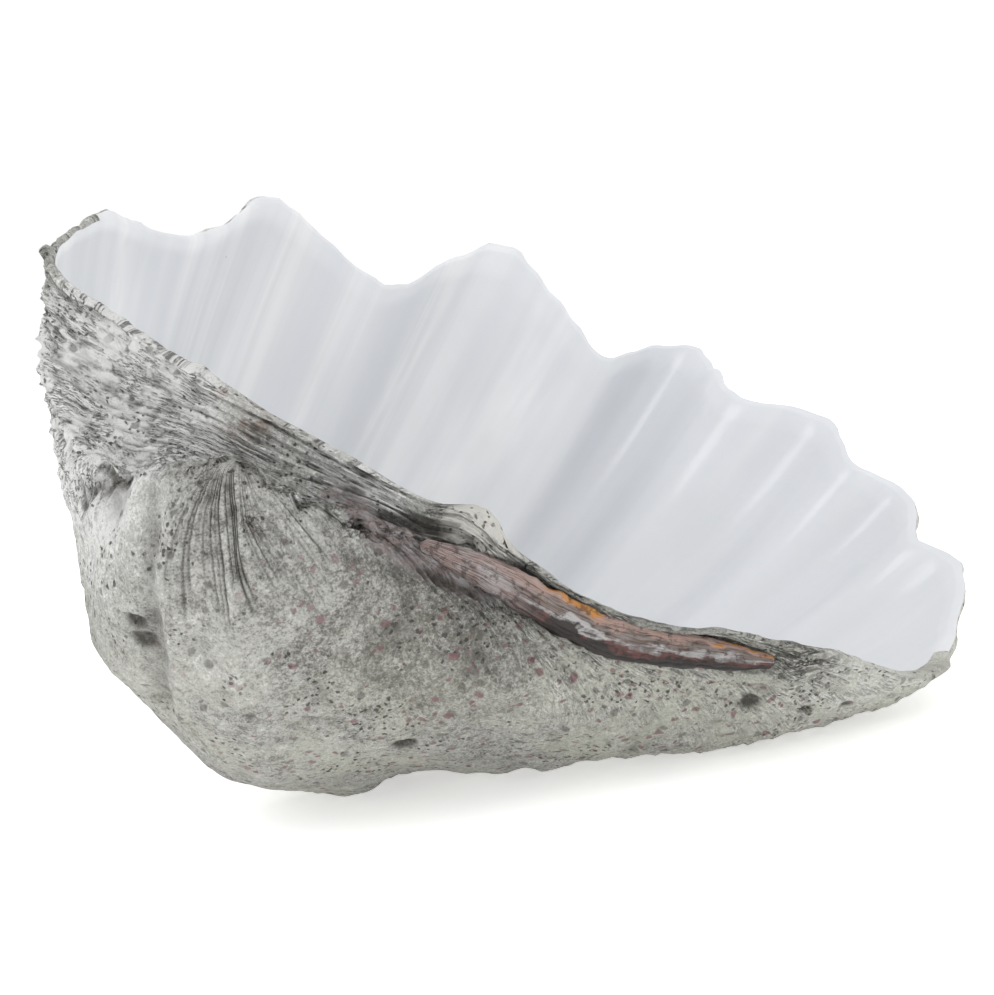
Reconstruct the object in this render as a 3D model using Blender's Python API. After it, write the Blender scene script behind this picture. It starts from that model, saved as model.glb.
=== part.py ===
"""One valve of a giant clam shell at its real size, lying on the worn underside of its ribs.

The shell grows as a spiral: its rim is turned about an axis through the beak and shrunk at the same
time, so one turn angle gives one old rim (a growth line), and one place on the rim gives one rib line.
Sizes are metres. The growth frame has X along the hinge, Y from the hinge to the far margin and Z out of
the opening. The finished pieces are turned from it into the resting frame, which has Z up.
"""

from math import pi, radians

import bpy
import numpy as np
from mathutils import Euler

# The beak, where growth began, and the axis about which the rim turned as the shell grew.
BEAK = np.array((-0.187, -0.075, -0.015))
GROWTH_AXIS = np.array((-0.986, 0.166, 0.011))
SHRINK = 0.214
SHRINK_GAIN = 0.665
BEAK_TURN = 2.85

# The rim without its lobes, as twelve places joined by one smooth closed curve.
RIM = np.array(
    (
        (0.045, -0.084, -0.009),
        (-0.205, -0.012, -0.002),
        (-0.287, 0.043, -0.003),
        (-0.355, 0.090, 0.006),
        (-0.322, 0.218, 0.013),
        (-0.221, 0.379, -0.004),
        (-0.058, 0.474, -0.010),
        (0.151, 0.478, -0.009),
        (0.260, 0.352, 0.021),
        (0.370, 0.206, 0.027),
        (0.356, 0.034, -0.013),
        (0.224, -0.063, -0.003),
    )
)

# Ribs and the valleys between them: place on the rim, and height (1 on a crest, -1 in a valley).
RIB_PLACES = np.array(
    (2.9, 3.83, 4.53, 5.09, 5.77, 6.22, 6.86, 7.25, 7.83, 8.18, 8.50, 8.72, 9.11, 9.33, 10.0)
)
RIB_HEIGHTS = np.array(
    (0.5, 0.7, -0.5, 1.0, -1.0, 1.0, -1.0, 1.0, -1.0, 1.0, -0.7, 0.5, -0.6, 0.7, 0.5)
)
MARGIN_RIB_DEPTH = 0.032
UMBO_RIB_DEPTH = 0.011
RIB_FADE_TURNS = (0.2, 1.1)

# Towards the beak the middle rib spreads over the whole cap: turn angle, spread and shift of the rib lines.
MIDDLE_RIB = 6.4
FAN_TURNS = np.array((0.9, 1.4, 1.8, 2.3))
FAN_SPREADS = np.array((1.0, 1.3, 2.1, 3.6))
FAN_SHIFTS = np.array((0.0, 0.46, 0.45, 0.0))
CAP_ROUNDING = 0.045
CAP_TURNS = (1.2, 2.0)
KEEL_WIDTH = 0.9

# The ribs end before the hinge on both sides: places, and the share of the rib relief there.
RIBBED_PLACES = np.array((2.6, 3.8, 9.3, 10.2))
RIBBED_SHARES = np.array((0.0, 1.0, 1.0, 0.0))

# How far the margin reaches past the plain rim, as a turn angle: the lobes, their shoulders and the
# notches between them, from the front corner round to the back corner.
MARGIN_REACH = np.array(
    (
        (3.00, 0.002),
        (3.45, 0.010),
        (3.83, 0.026),
        (4.20, -0.012),
        (4.53, -0.002),
        (4.85, 0.037),
        (5.09, 0.073),
        (5.40, 0.026),
        (5.77, -0.005),
        (6.00, 0.034),
        (6.22, 0.084),
        (6.50, 0.061),
        (6.86, 0.011),
        (7.05, 0.045),
        (7.25, 0.057),
        (7.50, 0.049),
        (7.83, 0.025),
        (8.18, 0.050),
        (8.50, 0.027),
        (8.72, 0.027),
        (9.11, -0.002),
        (9.33, 0.032),
        (9.70, 0.004),
        (10.1, -0.006),
    )
)

# The inside: a bowl that closes at one turn angle, the wall at the margin and at the hinge.
BOWL_CENTRE = np.array((0.020, 0.195, 0.0))
BOWL_TURN = 1.38
MARGIN_FADE = 3
MARGIN_WALL = 0.010
WALL_PLACES = np.array((0.0, 1.2, 2.6, 3.4, 9.6, 10.6, 12.0))
WALLS = np.array((0.030, 0.026, 0.020, MARGIN_WALL, MARGIN_WALL, 0.026, 0.030))
EDGE_CROWN = 0.40
HINGE_SLOPE = 0.9

# The trough behind the beak that holds the ligament, from its front end to its back end.
TROUGH = np.array(
    (
        (-0.110, -0.090, -0.022),
        (-0.050, -0.091, -0.024),
        (0.010, -0.092, -0.025),
        (0.070, -0.090, -0.026),
        (0.120, -0.085, -0.026),
        (0.165, -0.077, -0.025),
        (0.210, -0.066, -0.018),
    )
)
TROUGH_DEPTH = 0.018
TROUGH_HALF_WIDTH = 0.019
TROUGH_END_TAPER = 0.5
TROUGH_ROUNDNESS = 0.7
TROUGH_SAMPLES = 60
LIP_HEIGHT = 0.006
LIP_DROP = 0.020

# The dry ligament that lies in the trough, and the stretch of the trough that it fills.
LIGAMENT_HALF_WIDTH = 0.0140
LIGAMENT_HALF_THICKNESS = 0.0055
# How deep its middle line lies in the trough, at shares of its length from the front end.
LIGAMENT_SHARES = (0.0, 0.38, 0.77, 1.0)
LIGAMENT_SET_BACKS = (0.0125, 0.0096, 0.0100, 0.0093)
LIGAMENT_STRETCH = (0.91, 5.64)
LIGAMENT_ENDS = (0.04, 0.96)
LIGAMENT_BLUNTNESS = 0.6
LIGAMENT_TIP = 0.003

# The hinge tooth, a low white lump on the rim line.
TOOTH_PLACE = np.array((-0.030, -0.055, -0.008))
TOOTH_HEIGHT = 0.012
TOOTH_REACH = 0.034

# Hollows and lumps in the outer face: middle, radius and depth (a lump has a negative depth).
HOLLOWS = (
    ((-0.250, -0.052, -0.082), 0.035, 0.006),
    ((-0.049, -0.101, -0.083), 0.040, 0.005),
    ((0.008, -0.093, -0.085), 0.030, 0.004),
    ((-0.316, 0.039, -0.047), 0.030, -0.005),
)

# How the valve lies: turns about X, Y and Z in degrees, and where the growth frame's origin ends up.
REST_TURN = (18.9, 30.7, 11.3)
REST_PLACE = (-0.0058, -0.1717, 0.2110)

# Facets: columns round the rim, rows from the margin to the beak, over the edge and down the bowl.
COLUMN_PLACES = np.array((0.0, 3.2, 9.9, 12.0))
COLUMN_SHARES = np.array((0, 15, 75, 94))
OUTER_ROWS = 30
EDGE_ROWS = 2
BOWL_ROWS = 17
LIGAMENT_ROWS = 27
LIGAMENT_SIDES = 10

# How far along the rim its direction is read.
RIM_STEP = 0.02

# The block that stands for the ground, and the plain materials.
GROUND_SIZE = 2.0
SHELL_COLOUR = (0.58, 0.58, 0.55)
SHELL_ROUGHNESS = 0.85
LIGAMENT_COLOUR = (0.13, 0.08, 0.07)
LIGAMENT_ROUGHNESS = 0.55


def smooth_curve(points, where, closed):
    """Catmull-Rom curve through the points, read at `where`, which counts points."""
    count = len(points)
    step = np.floor(where).astype(int)
    part = (where - step)[..., None]
    if closed:
        before, first, second, after = (points[(step + k) % count] for k in (-1, 0, 1, 2))
    else:
        before, first, second, after = (points[np.clip(step + k, 0, count - 1)] for k in (-1, 0, 1, 2))
    return 0.5 * (
        2 * first
        + (second - before) * part
        + (2 * before - 5 * first + 4 * second - after) * part**2
        + (3 * first - before - 3 * second + after) * part**3
    )


def ease(where, places, values):
    """Values at the places joined by half cosine steps, so each stated place is a crest or a valley."""
    step = np.clip(np.searchsorted(places, where) - 1, 0, len(places) - 2)
    part = np.clip((where - places[step]) / (places[step + 1] - places[step]), 0, 1)
    part = (1 - np.cos(pi * part)) / 2
    return values[step] * (1 - part) + values[step + 1] * part


def unit(vectors):
    return vectors / np.linalg.norm(vectors, axis=-1, keepdims=True)


def grow(points, turn):
    """The points carried back in growth by a turn angle about the axis through the beak, and shrunk."""
    axis = unit(GROWTH_AXIS)
    size = np.exp(-(SHRINK * turn + SHRINK_GAIN * np.maximum(turn, 0) ** 2 / 2))[..., None]
    arm = points - BEAK
    cos, sin = np.cos(turn)[..., None], np.sin(turn)[..., None]
    across = np.cross(np.broadcast_to(axis, arm.shape), arm)
    along = axis * (arm @ axis)[..., None]
    return BEAK + size * (arm * cos + across * sin + along * (1 - cos))


def rim_at(place):
    """A point of the plain rim and the level direction that leads out of the shell there."""
    point = smooth_curve(RIM, place, closed=True)
    ahead = smooth_curve(RIM, place + RIM_STEP, closed=True)
    run = ahead - smooth_curve(RIM, place - RIM_STEP, closed=True)
    out = np.stack((run[..., 1], -run[..., 0], np.zeros_like(run[..., 0])), axis=-1)
    side = np.sign(np.sum((point - RIM.mean(axis=0)) * out, axis=-1, keepdims=True))
    return point, unit(out * side)


def smooth_step(value, span):
    """0 before the span, 1 after it, with a smooth rise between."""
    part = np.clip((value - span[0]) / (span[1] - span[0]), 0, 1)
    return part * part * (3 - 2 * part)


def rib_relief(place, turn):
    """Depth below the crests, 0 or less. The rib lines fan out on the way to the beak."""
    spread = np.interp(turn, FAN_TURNS, FAN_SPREADS)
    shift = np.interp(turn, FAN_TURNS, FAN_SHIFTS)
    height = ease(MIDDLE_RIB + (place - MIDDLE_RIB - shift) / spread, RIB_PLACES, RIB_HEIGHTS)
    ribbed = ease(place, RIBBED_PLACES, RIBBED_SHARES)
    worn = smooth_step(turn, RIB_FADE_TURNS)
    depth = MARGIN_RIB_DEPTH * (1 - worn) + UMBO_RIB_DEPTH * worn
    keel = np.exp(-(((place - MIDDLE_RIB) / KEEL_WIDTH) ** 2))
    cap = CAP_ROUNDING * (1 - 2 * keel) * smooth_step(turn, CAP_TURNS)
    return ribbed * (depth * (height - 1) / 2 + cap)


def margin_turn(place):
    """Turn angle at which the margin ends: less than zero on a lobe. A cubic joins the stated places."""
    places, reach = MARGIN_REACH.T
    slope = np.gradient(reach, places)
    slope[[0, -1]] = 0
    step = np.clip(np.searchsorted(places, place) - 1, 0, len(places) - 2)
    span = places[step + 1] - places[step]
    part = np.clip((place - places[step]) / span, 0, 1)
    rest = 1 - part
    ends = (1 + 2 * part) * rest**2 * reach[step] + part**2 * (3 - 2 * part) * reach[step + 1]
    bend = span * part * rest * (rest * slope[step] - part * slope[step + 1])
    return -(ends + bend)


def outer_face(place, turn):
    point, out = rim_at(place)
    return grow(point + out * rib_relief(place, turn)[..., None], turn)


def bowl_face(place, turn):
    """Like the outer face, drawn in towards the middle of each growth line until it closes."""
    point, out = rim_at(place)
    wall = ease(place, WALL_PLACES, WALLS)
    point = point + out * (rib_relief(place, turn) - wall)[..., None]
    point[..., 2] -= HINGE_SLOPE * (wall - MARGIN_WALL)
    share = np.sqrt(np.clip(1 - (np.maximum(turn, 0) / BOWL_TURN) ** 2, 0, 1))
    return grow(BOWL_CENTRE + (point - BOWL_CENTRE) * share[..., None], turn)


def nearness(points, middle, reach):
    """1 at the middle, falling smoothly to 0 at the reach."""
    far = np.linalg.norm(points - middle, axis=-1) / reach
    return np.clip(1 - far**2, 0, 1) ** 2


def trough_line(first, last, count):
    """Points along the trough between two places, which count its stated points."""
    return smooth_curve(TROUGH, np.linspace(first, last, count), closed=False)


def cut_trough(points):
    """Presses the outer face in along the trough and raises a low lip along its lower side."""
    line = trough_line(0, len(TROUGH) - 1, TROUGH_SAMPLES)
    gap = points[..., None, :] - line
    near = np.linalg.norm(gap, axis=-1)
    nearest = near.argmin(axis=-1)
    far = near.min(axis=-1) / TROUGH_HALF_WIDTH
    taper = np.sin(pi * nearest / (TROUGH_SAMPLES - 1)).clip(0) ** TROUGH_END_TAPER
    pressed = TROUGH_DEPTH * taper * np.clip(1 - far**2, 0, 1) ** TROUGH_ROUNDNESS
    lip = np.linalg.norm(gap + (0, 0, LIP_DROP), axis=-1).min(axis=-1) / TROUGH_HALF_WIDTH
    raised = LIP_HEIGHT * taper * np.clip(1 - lip**2, 0, 1)
    moved = points.copy()
    moved[..., 1] += pressed - raised
    return moved


def dent(points, faces_out):
    """Presses each hollow into the points along the directions that lead outwards."""
    for middle, radius, depth in HOLLOWS:
        points = points - faces_out * (depth * nearness(points, np.array(middle), radius))[..., None]
    return points


def outward(points):
    """Unit directions out of a grid of points whose columns go round the rim."""
    along = np.roll(points, -1, axis=1) - np.roll(points, 1, axis=1)
    down = np.gradient(points, axis=0)
    facing = unit(np.cross(along, down) + 1e-12)
    middle = points.mean(axis=(0, 1))
    side = np.sign(np.sum((points - middle) * facing, axis=-1).mean())
    return facing * side


def valve_points():
    """Grid of points from the bottom of the bowl over the edge to the beak, and its two poles."""
    columns = np.interp(np.arange(COLUMN_SHARES[-1]), COLUMN_SHARES, COLUMN_PLACES)
    start = margin_turn(columns)
    down = np.linspace(0, 1, OUTER_ROWS)[:, None]
    outer = outer_face(*np.broadcast_arrays(columns, start * (1 - down) ** MARGIN_FADE + BEAK_TURN * down))
    outer = cut_trough(outer)
    outer = dent(outer, outward(outer))
    in_bowl = np.sin(np.linspace(0, pi / 2, BOWL_ROWS + 1))[:-1, None]
    turns = start * (1 - in_bowl) ** MARGIN_FADE + BOWL_TURN * in_bowl
    bowl = bowl_face(*np.broadcast_arrays(columns, turns))
    across = np.linspace(0, 1, EDGE_ROWS + 2)[1:-1, None, None]
    flat = bowl[0] * (1 - across) + outer[0] * across
    wall = np.linalg.norm(outer[0] - bowl[0], axis=-1)[:, None]
    crown = np.sin(pi * across) * np.minimum(wall, 2 * MARGIN_WALL) * EDGE_CROWN
    edge = flat + crown * unit(outer[0] - outer[1] + bowl[0] - bowl[1])
    grid = np.concatenate((bowl[::-1], edge, outer))
    grid[..., 2] += TOOTH_HEIGHT * nearness(grid, TOOTH_PLACE, TOOTH_REACH)
    floor = bowl_face(np.zeros(1), np.full(1, BOWL_TURN))
    return grid, floor[0], BEAK


def closed_mesh(name, grid, first_pole, last_pole):
    """A mesh from a grid whose columns close on themselves, with a pole at each end."""
    rows, columns = grid.shape[:2]
    index = np.arange(rows * columns).reshape(rows, columns)
    beside = np.roll(index, -1, axis=1)
    quads = np.stack((index[:-1], index[1:], beside[1:], beside[:-1]), axis=-1).reshape(-1, 4)
    first, last = rows * columns, rows * columns + 1
    top = [(first, int(a), int(b)) for a, b in zip(index[0], beside[0])]
    bottom = [(last, int(b), int(a)) for a, b in zip(index[-1], beside[-1])]
    points = np.concatenate((grid.reshape(-1, 3), [first_pole, last_pole]))
    mesh = bpy.data.meshes.new(name)
    mesh.from_pydata(points.tolist(), [], quads.tolist() + top + bottom)
    mesh.update()
    return mesh


def ligament_points():
    """An oval strip along the trough, thin at both ends."""
    line = trough_line(*LIGAMENT_STRETCH, LIGAMENT_ROWS)
    run = unit(np.gradient(line, axis=0))
    inwards = np.array((0.0, 1.0, 0.0))
    upwards = unit(np.cross(inwards, run))
    upwards = upwards * np.sign(upwards[:, 2:3])
    share = np.sin(pi * np.linspace(*LIGAMENT_ENDS, LIGAMENT_ROWS)) ** LIGAMENT_BLUNTNESS
    angle = np.linspace(0, 2 * pi, LIGAMENT_SIDES, endpoint=False)
    width = (LIGAMENT_HALF_WIDTH * share)[:, None, None] * np.cos(angle)[None, :, None]
    thick = (LIGAMENT_HALF_THICKNESS * share)[:, None, None] * np.sin(angle)[None, :, None]
    deep = np.interp(np.linspace(0, 1, LIGAMENT_ROWS), LIGAMENT_SHARES, LIGAMENT_SET_BACKS)
    middle = line + inwards * deep[:, None]
    grid = middle[:, None, :] + upwards[:, None, :] * width + inwards * thick
    return grid, middle[0] - run[0] * LIGAMENT_TIP, middle[-1] + run[-1] * LIGAMENT_TIP


def principled(name, colour, roughness):
    material = bpy.data.materials.new(name)
    material.use_nodes = True
    shader = material.node_tree.nodes["Principled BSDF"]
    shader.inputs["Base Color"].default_value = (*colour, 1.0)
    shader.inputs["Roughness"].default_value = roughness
    shader.inputs["Metallic"].default_value = 0.0
    return material


def lay_to_rest(grid, *poles):
    """Growth frame to resting frame, for a grid and its poles."""
    turn = np.array(Euler([radians(a) for a in REST_TURN], "XYZ").to_matrix())
    return [np.asarray(points) @ turn.T + REST_PLACE for points in (grid, *poles)]


def add_piece(name, collection, points, material):
    mesh = closed_mesh(name, *lay_to_rest(*points))
    mesh.shade_smooth()
    piece = bpy.data.objects.new(name, mesh)
    piece.data.materials.append(material)
    collection.objects.link(piece)
    return piece


def wear_flat(valve, cutters):
    """Cuts the lowest part of the valve off level, where it stands."""
    bpy.ops.mesh.primitive_cube_add(size=GROUND_SIZE, location=(0.0, 0.0, -GROUND_SIZE / 2))
    ground = bpy.context.active_object
    ground.name = "ground_cutter"
    for holder in ground.users_collection:
        holder.objects.unlink(ground)
    cutters.objects.link(ground)
    ground.hide_render = True
    ground.display_type = "WIRE"
    cut = valve.modifiers.new("worn_base", "BOOLEAN")
    cut.operation = "DIFFERENCE"
    cut.solver = "EXACT"
    cut.object = ground


def main():
    for old in list(bpy.data.objects):
        bpy.data.objects.remove(old, do_unlink=True)
    parts = bpy.data.collections.new("giant_clam_valve")
    cutters = bpy.data.collections.new("cutters")
    for collection in (parts, cutters):
        bpy.context.scene.collection.children.link(collection)
    shell = principled("shell", SHELL_COLOUR, SHELL_ROUGHNESS)
    horn = principled("ligament", LIGAMENT_COLOUR, LIGAMENT_ROUGHNESS)
    valve = add_piece("valve", parts, valve_points(), shell)
    wear_flat(valve, cutters)
    add_piece("ligament", parts, ligament_points(), horn)


if __name__ == "__main__":
    main()
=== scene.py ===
from math import pi, radians

import bpy
import numpy as np
from bpy.props import FloatProperty, FloatVectorProperty, PointerProperty
from mathutils import Euler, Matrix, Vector


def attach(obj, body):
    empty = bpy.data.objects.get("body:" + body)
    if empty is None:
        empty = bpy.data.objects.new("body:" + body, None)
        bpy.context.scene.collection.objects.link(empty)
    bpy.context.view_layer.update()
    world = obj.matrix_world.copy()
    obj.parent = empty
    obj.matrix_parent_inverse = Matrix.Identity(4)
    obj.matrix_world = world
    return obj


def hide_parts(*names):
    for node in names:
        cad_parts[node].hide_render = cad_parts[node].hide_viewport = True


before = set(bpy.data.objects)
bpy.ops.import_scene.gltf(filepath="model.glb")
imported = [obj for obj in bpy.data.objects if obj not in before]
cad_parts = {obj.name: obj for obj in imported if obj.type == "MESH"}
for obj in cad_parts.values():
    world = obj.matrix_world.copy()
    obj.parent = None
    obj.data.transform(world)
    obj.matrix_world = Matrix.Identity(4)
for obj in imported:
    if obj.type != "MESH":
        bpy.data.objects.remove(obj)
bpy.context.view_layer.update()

bl_info = {
    "name": "Giant clam valve",
    "version": (1, 0, 0),
    "blender": (4, 5, 0),
    "location": "View3D > Sidebar > Clam",
    "description": "Weathered giant clam valve with a pearly bowl and a dry ligament",
    "category": "Add Mesh",
}

# The growth law: the beak, the axis the rim turned about, and how it shrinks on the way to the beak.
BEAK = np.array((-0.187, -0.075, -0.015))
GROWTH_AXIS = np.array((-0.986, 0.166, 0.011))
SHRINK = 0.214
SHRINK_GAIN = 0.665
BEAK_TURN = 2.85
PLACES = 12

# The rim without its lobes, as twelve places joined by one smooth closed curve.
RIM = np.array(
    (
        (0.045, -0.084, -0.009),
        (-0.205, -0.012, -0.002),
        (-0.287, 0.043, -0.003),
        (-0.355, 0.090, 0.006),
        (-0.322, 0.218, 0.013),
        (-0.221, 0.379, -0.004),
        (-0.058, 0.474, -0.010),
        (0.151, 0.478, -0.009),
        (0.260, 0.352, 0.021),
        (0.370, 0.206, 0.027),
        (0.356, 0.034, -0.013),
        (0.224, -0.063, -0.003),
    )
)
RIM_STEP = 0.02

# Ribs and valleys: place on the rim and height, how deep they are, and how they fan out over the cap.
RIB_PLACES = np.array(
    (2.9, 3.83, 4.53, 5.09, 5.77, 6.22, 6.86, 7.25, 7.83, 8.18, 8.50, 8.72, 9.11, 9.33, 10.0)
)
RIB_HEIGHTS = np.array(
    (0.5, 0.7, -0.5, 1.0, -1.0, 1.0, -1.0, 1.0, -1.0, 1.0, -0.7, 0.5, -0.6, 0.7, 0.5)
)
MARGIN_RIB_DEPTH = 0.032
UMBO_RIB_DEPTH = 0.011
RIB_FADE_TURNS = (0.2, 1.1)
MIDDLE_RIB = 6.4
FAN_TURNS = np.array((0.9, 1.4, 1.8, 2.3))
FAN_SPREADS = np.array((1.0, 1.3, 2.1, 3.6))
FAN_SHIFTS = np.array((0.0, 0.46, 0.45, 0.0))
CAP_ROUNDING = 0.045
CAP_TURNS = (1.2, 2.0)
KEEL_WIDTH = 0.9
RIBBED_PLACES = np.array((2.6, 3.8, 9.3, 10.2))
RIBBED_SHARES = np.array((0.0, 1.0, 1.0, 0.0))

# How far the margin reaches past the plain rim, as a turn angle, from the front corner to the back one.
MARGIN_REACH = np.array(
    (
        (3.00, 0.002),
        (3.45, 0.010),
        (3.83, 0.026),
        (4.20, -0.012),
        (4.53, -0.002),
        (4.85, 0.037),
        (5.09, 0.073),
        (5.40, 0.026),
        (5.77, -0.005),
        (6.00, 0.034),
        (6.22, 0.084),
        (6.50, 0.061),
        (6.86, 0.011),
        (7.05, 0.045),
        (7.25, 0.057),
        (7.50, 0.049),
        (7.83, 0.025),
        (8.18, 0.050),
        (8.50, 0.027),
        (8.72, 0.027),
        (9.11, -0.002),
        (9.33, 0.032),
        (9.70, 0.004),
        (10.1, -0.006),
    )
)
MARGIN_FADE = 3

# The bowl and its wall.
BOWL_CENTRE = np.array((0.020, 0.195, 0.0))
BOWL_TURN = 1.38
MARGIN_WALL = 0.010
WALL_PLACES = np.array((0.0, 1.2, 2.6, 3.4, 9.6, 10.6, 12.0))
WALLS = np.array((0.030, 0.026, 0.020, MARGIN_WALL, MARGIN_WALL, 0.026, 0.030))
EDGE_CROWN = 0.40
HINGE_SLOPE = 0.9

# The trough behind the beak and the ligament in it.
TROUGH = np.array(
    (
        (-0.110, -0.090, -0.022),
        (-0.050, -0.091, -0.024),
        (0.010, -0.092, -0.025),
        (0.070, -0.090, -0.026),
        (0.120, -0.085, -0.026),
        (0.165, -0.077, -0.025),
        (0.210, -0.066, -0.018),
    )
)
TROUGH_DEPTH = 0.018
TROUGH_HALF_WIDTH = 0.019
TROUGH_END_TAPER = 0.5
TROUGH_ROUNDNESS = 0.7
TROUGH_SAMPLES = 60
LIP_HEIGHT = 0.006
LIP_DROP = 0.020
LIGAMENT_HALF_WIDTH = 0.0140
LIGAMENT_HALF_THICKNESS = 0.0055
LIGAMENT_SHARES = (0.0, 0.38, 0.77, 1.0)
LIGAMENT_SET_BACKS = (0.0125, 0.0096, 0.0100, 0.0093)
LIGAMENT_STRETCH = (0.91, 5.64)
LIGAMENT_ENDS = (0.04, 0.96)
LIGAMENT_BLUNTNESS = 0.6
LIGAMENT_TIP = 0.003
# The worn layers reach a little wider and lower than the plain strip.
LAYERS_WIDER = 1.15
LAYERS_SHIFT = -0.0025

# The hinge tooth and the hollows and lumps of the outer face: middle, radius and depth.
TOOTH_PLACE = np.array((-0.030, -0.055, -0.008))
TOOTH_HEIGHT = 0.012
TOOTH_REACH = 0.034
HOLLOWS = (
    ((-0.250, -0.052, -0.082), 0.035, 0.006),
    ((-0.049, -0.101, -0.083), 0.040, 0.005),
    ((0.008, -0.093, -0.085), 0.030, 0.004),
    ((-0.316, 0.039, -0.047), 0.030, -0.005),
)
# The larger bored holes: middle, radius and depth.
BORED_HOLES = (
    ((-0.211, -0.084, -0.146), 0.012, 0.009),
    ((-0.199, -0.083, -0.160), 0.010, 0.007),
    ((-0.005, -0.056, -0.176), 0.012, 0.007),
    ((0.204, -0.046, -0.063), 0.011, 0.006),
    ((-0.026, -0.071, -0.014), 0.006, 0.006),
    ((0.276, -0.020, -0.047), 0.006, 0.004),
    ((0.247, -0.030, -0.058), 0.007, 0.004),
)

# How the valve lies.
REST_TURN = (18.9, 30.7, 11.3)
REST_PLACE = (-0.0058, -0.1717, 0.2110)

# Where the lights aim.
LIGHTS_AIM = (0.0, 0.0, 0.15)

# Fineness of the surfaces.
COLUMN_PLACES = np.array((0.0, 3.2, 9.9, 12.0))
COLUMN_SHARES = np.array((0, 96, 312, 400))
OUTER_ROWS = 178
EDGE_ROWS = 6
BOWL_ROWS = 60
LIGAMENT_ROWS = 220
LIGAMENT_SIDES = 64
NOISE_CELLS = (32, 32, 32)

# Where each kind of relief lies, as places on the rim and turn angles. On the side away from the hinge
# the ledges fade towards the beak.
FRONT_WALL = (np.array((0.0, 3.2, 4.4, 10.2, 11.4, 12.0)), np.array((1.0, 1.0, 0.25, 0.25, 0.8, 1.0)))
CAP_PLACES = (np.array((3.2, 4.4, 9.6, 10.2)), np.array((0.0, 1.0, 1.0, 0.0)))
CAP_SMOOTH_TURNS = (1.75, 2.0)
FAR_TURNS = (0.9, 1.4)
FAR_SHARE = 0.65

# Noise of the crust: size, octaves and seed.
BEND_NOISE = (0.09, 2, 11)
ROUGH_NOISE = (0.020, 3, 31)
LUMP_NOISE = (0.055, 2, 41)

# Growth ledges: how the noise bends them, their broken edge, their least share and their mean height.
LEDGES_PER_TURN = 15.0
LEDGE_BEND = 0.9
LEDGE_EDGE = (0.0, 0.25)
LEDGE_LEAST = 0.35
LEDGE_MEAN = 0.3
# The wavy growth lines between them: counts around and along, and the seed.
COARSE_LINES = (28, 26, 21)
FINE_LINES = (56, 52, 22)
COARSE_BEND = (0.25, 0.03)
FINE_BEND = 0.02
COARSE_SHARE = 0.6
LINE_LEAST = 0.20
LINE_MEAN = 0.4
# Painted shade in the troughs of the growth lines: its strength, the line height below which it starts, and
# its least share off the front wall.
LINE_SHADE = 0.45
LINE_SHADE_BELOW = 0.45
LINE_SHADE_LEAST = 0.3

# The ragged margin: how far it wanders in turn angle, its steps around the rim and the finer share.
MARGIN_RAGGEDNESS = 0.0055
MARGIN_STEPS = 96
MARGIN_FINER = 0.6

# The riblets stand in groups of five: the place where a group crosses one turn angle, its strength and
# the turn angle where it fades out. They lean off the rib lines by so many places for each unit of turn.
RIBLET_GROUPS = (
    (5.13, 1.0, 1.76),
    (6.02, 0.9, 1.84),
    (6.94, 1.0, 1.98),
    (8.22, 0.8, 2.02),
    (9.50, 0.7, 2.00),
)
RIBLET_TURN = 2.3
RIBLET_LEAN = (np.array((4.0, 5.0, 8.3, 9.5)), np.array((1.0, 2.0, 2.0, 0.0)))
RIBLET_BEND = 0.05
RIBLET_SPACING = 0.140
RIBLET_HALF_WIDTH = 0.044
RIBLET_FADE = 0.16
# Painted shade in the riblets' grooves.
RIBLET_SHADE = 0.70
LONE_RIBLETS = 22
LONE_STRENGTH = 0.45
LONE_TURNS = (1.9, 2.3)

# Small pits scattered over the outside: how many, least and added width, depth over width, and the painted
# shade in them.
PIT_COUNT = 200
PIT_WIDTHS = (0.004, 0.006)
PIT_DEPTH = 0.35
PIT_SHADE = 0.12
# How ragged the bored holes are, and the painted shade in holes, hollows and rough crust.
HOLE_RAGGEDNESS = 0.0035
HOLE_SHADE = 1.2
HOLLOW_SHADE = 0.30
ROUGH_SHADE = 0.14
ROUGH_SHADE_BELOW = -0.25

# Creases that run over the crust: reach, depth, painted shade and points; a depth below zero is a ridge.
CREASES = (
    (0.017, 0.0075, 0.25, (
        (-0.229, -0.084, -0.062), (-0.218, -0.099, -0.095), (-0.201, -0.097, -0.134),
        (-0.184, -0.080, -0.174), (-0.167, -0.055, -0.210),
    )),
    (0.018, -0.0040, 0.0, (
        (-0.206, -0.106, -0.092), (-0.188, -0.104, -0.130), (-0.170, -0.087, -0.170),
        (-0.152, -0.062, -0.206),
    )),
    (0.015, 0.0060, 0.35, (
        (-0.266, -0.012, -0.112), (-0.264, -0.036, -0.085), (-0.250, -0.055, -0.060),
    )),
    (0.007, 0.0035, 0.65, (
        (-0.120, -0.068, -0.030), (-0.088, -0.088, -0.029), (-0.059, -0.089, -0.035),
        (-0.015, -0.087, -0.042),
    )),
    (0.008, 0.0055, 0.85, (
        (-0.086, -0.063, -0.025), (-0.057, -0.066, -0.019), (-0.026, -0.071, -0.015),
    )),
)
CREASE_SAMPLES = 40

# The root-like folds between the beak and the tooth: middle and reach, the size of one fold along and
# across, how they climb along the hinge, how high they stand, and the depths over which they start.
FOLDS = ((-0.100, -0.055, -0.015), 0.062)
FOLD_EDGE = (0.0, 0.4)
FOLD_SIZE = (0.060, 0.0075, 0.0075)
FOLD_SLOPES = (0.23, -0.15)
FOLD_BEND = 0.5
FOLD_SEEDS = (91, 92)
FOLD_FINER = 1.7
FOLD_HEIGHT = 0.0065
FOLD_MEAN = 0.15
FOLD_START = (0.004, 0.020)
FOLD_CRACK = (0.0, 0.13)
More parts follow.
